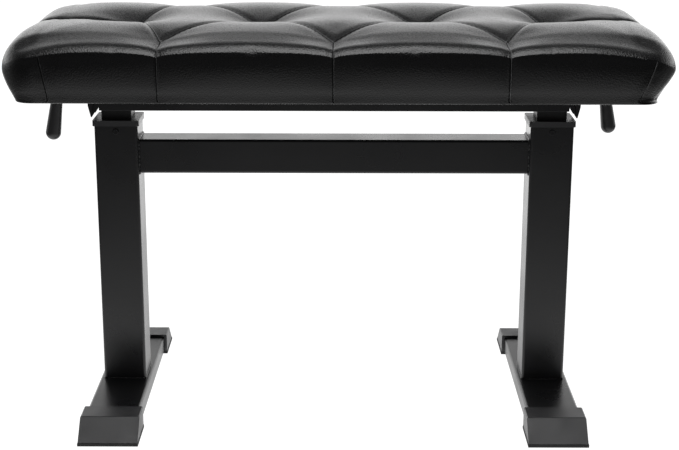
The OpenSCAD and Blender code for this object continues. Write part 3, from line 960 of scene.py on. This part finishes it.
def close_under(points, faces, plan, row):
    """Rolls the cover round under the board, back along its hem, and closes the form over the board."""
    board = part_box("seat_board")[1]
    shift = np.array([CENTRE_X * 0.7, 0])
    hem = outline(plan, board.x - HEM, board.y - HEM, HEM_CORNER)
    round_board = outline(plan, board.x + BOARD_GAP, board.y + BOARD_GAP, BOARD_CORNER)
    rings = [
        (outline(plan, BASE_W - 0.7 * MM, BASE_D - 0.7 * MM, BASE_R) + shift, UNDER + 0.5 * MM),
        (outline(plan, BASE_W - 2.5 * MM, BASE_D - 2.5 * MM, BASE_R) + shift, UNDER),
        (hem, UNDER),
        (hem, UNDER + HEM_THICK),
        (round_board, UNDER + 1.35 * MM),
        (round_board, board.z + BOARD_GAP),
    ]
    above = row
    for flat, z in rings:
        ring = np.column_stack([flat, np.full(len(flat), z)])
        below = np.arange(len(points), len(points) + len(plan))
        points = np.vstack([points, ring])
        add_band(faces, above, below)
        above = below
    close_flat(faces, above)
    return points


def close_flat(faces, ring):
    """Closes a ring with strips from the front edge to the back edge."""
    count = len(ring)
    half = count // 2
    start = count - (len(grid_lines()[1]) - 1) // 2
    near = [ring[(start + k) % count] for k in range(half + 1)]
    far = [ring[(start - k) % count] for k in range(half + 1)]
    faces.append((near[0], near[1], far[1]))
    for k in range(1, half - 1):
        faces.append((near[k], near[k + 1], far[k + 1], far[k]))
    faces.append((near[half - 1], near[half], far[half - 1]))


def evaluated_points(obj):
    """The object's points with its modifiers at the current frame."""
    settled = obj.evaluated_get(bpy.context.evaluated_depsgraph_get())
    flat = np.zeros(len(settled.data.vertices) * 3, np.float32)
    settled.data.vertices.foreach_get("co", flat)
    return flat.reshape(-1, 3).astype(float)


def apply_modifiers(obj):
    """Replaces the object's mesh with its evaluated one."""
    depsgraph = bpy.context.evaluated_depsgraph_get()
    mesh = bpy.data.meshes.new_from_object(obj.evaluated_get(depsgraph), depsgraph=depsgraph)
    obj.modifiers.clear()
    obj.data = mesh


def simulate(points, faces, pins):
    """Swells the cover between its pins with Cloth, and returns where its points settle."""
    obj = mesh_object("cloth_work", points, faces, LEATHER)
    group = obj.vertex_groups.new(name="pin")
    for weight in sorted(set(pins[pins > 0])):
        group.add(np.nonzero(pins == weight)[0].tolist(), float(weight), "REPLACE")
    cloth = obj.modifiers.new("cloth", "CLOTH")
    set_cloth(cloth)
    scene = bpy.context.scene
    scene.frame_start, scene.frame_end = 1, CLOTH_FRAMES
    cloth.point_cache.frame_start, cloth.point_cache.frame_end = 1, CLOTH_FRAMES
    for step in range(1, CLOTH_FRAMES + 1):
        scene.frame_set(step)
    settled = evaluated_points(obj)
    scene.frame_set(1)
    bpy.data.objects.remove(obj)
    return settled


def set_cloth(cloth):
    """Stiff cloth without weight or collisions, swelled by pressure from inside."""
    settings = cloth.settings
    settings.vertex_group_mass = "pin"
    settings.quality = 6
    settings.mass = 0.4
    settings.tension_stiffness = 25
    settings.compression_stiffness = 12
    settings.shear_stiffness = 8
    settings.bending_stiffness = 4
    settings.use_pressure = True
    settings.uniform_pressure_force = CLOTH_PRESSURE
    settings.shrink_min = 0.0
    settings.effector_weights.gravity = 0
    cloth.collision_settings.use_collision = False


def swell(points, faces, rows):
    """Runs the cloth over the cover, pinned at its seams, tufts and lower edge; moves are capped."""
    to_seam = seam_distance(points[:, 0], points[:, 1])
    to_tuft = points_distance(points[:, 0], points[:, 1], edge_points() + middle_points())
    top = np.arange(len(points)) < rows[0][0]
    pins = np.where(top & (to_seam < SEAM_PIN_REACH), SEAM_PIN, 0.0)
    pins = np.where(top & (to_tuft < TUFT_PIN_REACH), 1.0, pins)
    pins[rows[-1]] = 1.0
    pins[rows[-2]] = 1.0
    move = simulate(points, faces, pins) - points
    size = np.linalg.norm(move, axis=1)
    soft = CLOTH_CAP * np.tanh(size / CLOTH_CAP) / np.maximum(size, 1e-9)
    return points + move * soft[:, None]


SEAM_SAMPLES = 5


def press_seams(mesh):
    """Works every seam edge into a narrow groove between raised lips.

    The groove's bottom takes the second material, and the edge on its right the third, which is a painted
    highlight.
    """
    work = bmesh.new()
    work.from_mesh(mesh)
    edges = [e for e in work.edges if e.seam]
    near = KDTree(SEAM_SAMPLES * len(edges))
    for n, edge in enumerate(edges):
        for step in range(SEAM_SAMPLES):
            near.insert(edge.verts[0].co.lerp(edge.verts[1].co, step / (SEAM_SAMPLES - 1)), n)
    near.balance()
    cut = bmesh.ops.bevel(work, geom=edges, offset=GROOVE_HALF, offset_type="OFFSET", segments=4,
                          profile=0.5, affect="EDGES", clamp_overlap=False)
    work.normal_update()
    gaps = {v: near.find(v.co)[2] for face in cut["faces"] for v in face.verts}
    steps = [(v, v.normal * lip_height(gap)) for v, gap in gaps.items()]
    for v, step in steps:
        v.co += step
    for face in cut["faces"]:
        groove = min(gaps[v] for v in face.verts) < GROOVE_HALF / 4
        middle = face.calc_center_median()
        on_right = middle.x - near.find(middle)[0].x > GROOVE_HALF / 3
        # The lip on the right of each groove takes the third material, a painted highlight.
        face.material_index = 1 if groove else 2 * int(on_right)
    work.to_mesh(mesh)
    work.free()


def lip_height(gap):
    """How far a point at this distance from the stitch line stands off the cover."""
    return float(np.interp(gap / GROOVE_HALF, [0.0, 0.5, 1.0], LIP_PROFILE))


def make_seat():
    """The padded seat: cover, seams, sides and hem as one closed form over the board."""
    points, faces, rim, rows, seams = make_skin()
    plan = points[rim][:, :2]
    points = swell(points, faces, rows)
    points[:, 0] += shift_rows(points)
    points = close_under(points, faces, plan, rows[-1])
    seat = mesh_object("seat_cushion", points, faces, LEATHER)
    marked = set(seams)
    for edge in seat.data.edges:
        edge.use_seam = tuple(sorted(edge.vertices)) in marked
    divide = seat.modifiers.new("divide", "SUBSURF")
    divide.levels = divide.render_levels = 1
    apply_modifiers(seat)
    seat.data.materials.append(SEAM)
    # The third material is a painted highlight for the right-hand lip of each seam.
    seat.data.materials.append(SEAM_PAINTED_HIGHLIGHT)
    press_seams(seat.data)
    seat.data.shade_smooth()
    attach(seat, "seat")
    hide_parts("seat_cover", "seat_foam")


def make_threads():
    """The twine that holds each tuft down, from under the board to just below the cover."""
    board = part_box("seat_board")[0].z
    points, faces = [], []
    for row, depth in ((edge_points(), EDGE_TWINE_TOP), (middle_points(), MIDDLE_TWINE_TOP)):
        for x, y in row:
            tube_points, tube_faces = tube_mesh((x, y), board, CROWN - depth, TWINE_RADIUS)
            faces += [tuple(n + len(points) for n in face) for face in tube_faces]
            points += tube_points
    threads = mesh_object("tuft_threads", points, faces, DUST)
    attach(threads, "seat")
    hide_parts("tuft_ties")


def sheet_sag(x, y, high):
    """How far the dust cloth hangs: a faint ripple, and nothing over the cross plates or at the hem."""
    low_plate, high_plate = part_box("cross_plate_right")
    to_plate = np.minimum(np.abs(np.abs(x) - low_plate.x), np.abs(np.abs(x) - high_plate.x))
    over_plate = (np.abs(x) > low_plate.x) & (np.abs(x) < high_plate.x)
    clear = np.where(over_plate, 0, np.clip(to_plate / PLATE_REACH, 0, 1))
    ripple = 0.5 + 0.3 * np.sin(x * 47 + y * 21) + 0.2 * np.sin(y * 61 - x * 13)
    return SHEET_SAG * (1 - (x / high.x) ** 2) * (1 - (y / high.y) ** 2) * clear * ripple


def sheet_faces(nx, ny):
    """Faces of both sides of a sheet whose lower points follow its upper ones, and of its rim."""
    half = nx * ny
    faces = []
    for j in range(ny - 1):
        for i in range(nx - 1):
            a, b, c, d = j * nx + i, j * nx + i + 1, (j + 1) * nx + i + 1, (j + 1) * nx + i
            faces += [(a, b, c, d), (d + half, c + half, b + half, a + half)]
    rim = loop_indices(nx, ny)
    for n, a in enumerate(rim):
        b = rim[(n + 1) % len(rim)]
        faces.append((a, a + half, b + half, b))
    return faces


def make_dust_sheet():
    """The dust cloth stretched under the board, with a slight sag between its fixings."""
    low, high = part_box("dust_cover")
    xs, ys = (np.linspace(low[axis], high[axis], SHEET_POINTS[axis]) for axis in (0, 1))
    x, y = (a.ravel() for a in np.meshgrid(xs, ys))
    top = high.z - SHEET_GAP - sheet_sag(x, y, high)
    points = np.vstack([np.column_stack([x, y, top]), np.column_stack([x, y, top - SHEET_THICK])])
    cloth = mesh_object("dust_sheet", points, sheet_faces(len(xs), len(ys)), DUST)
    cloth.data.shade_smooth()
    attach(cloth, "seat")
    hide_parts("dust_cover")


make_seat()
make_threads()
make_dust_sheet()
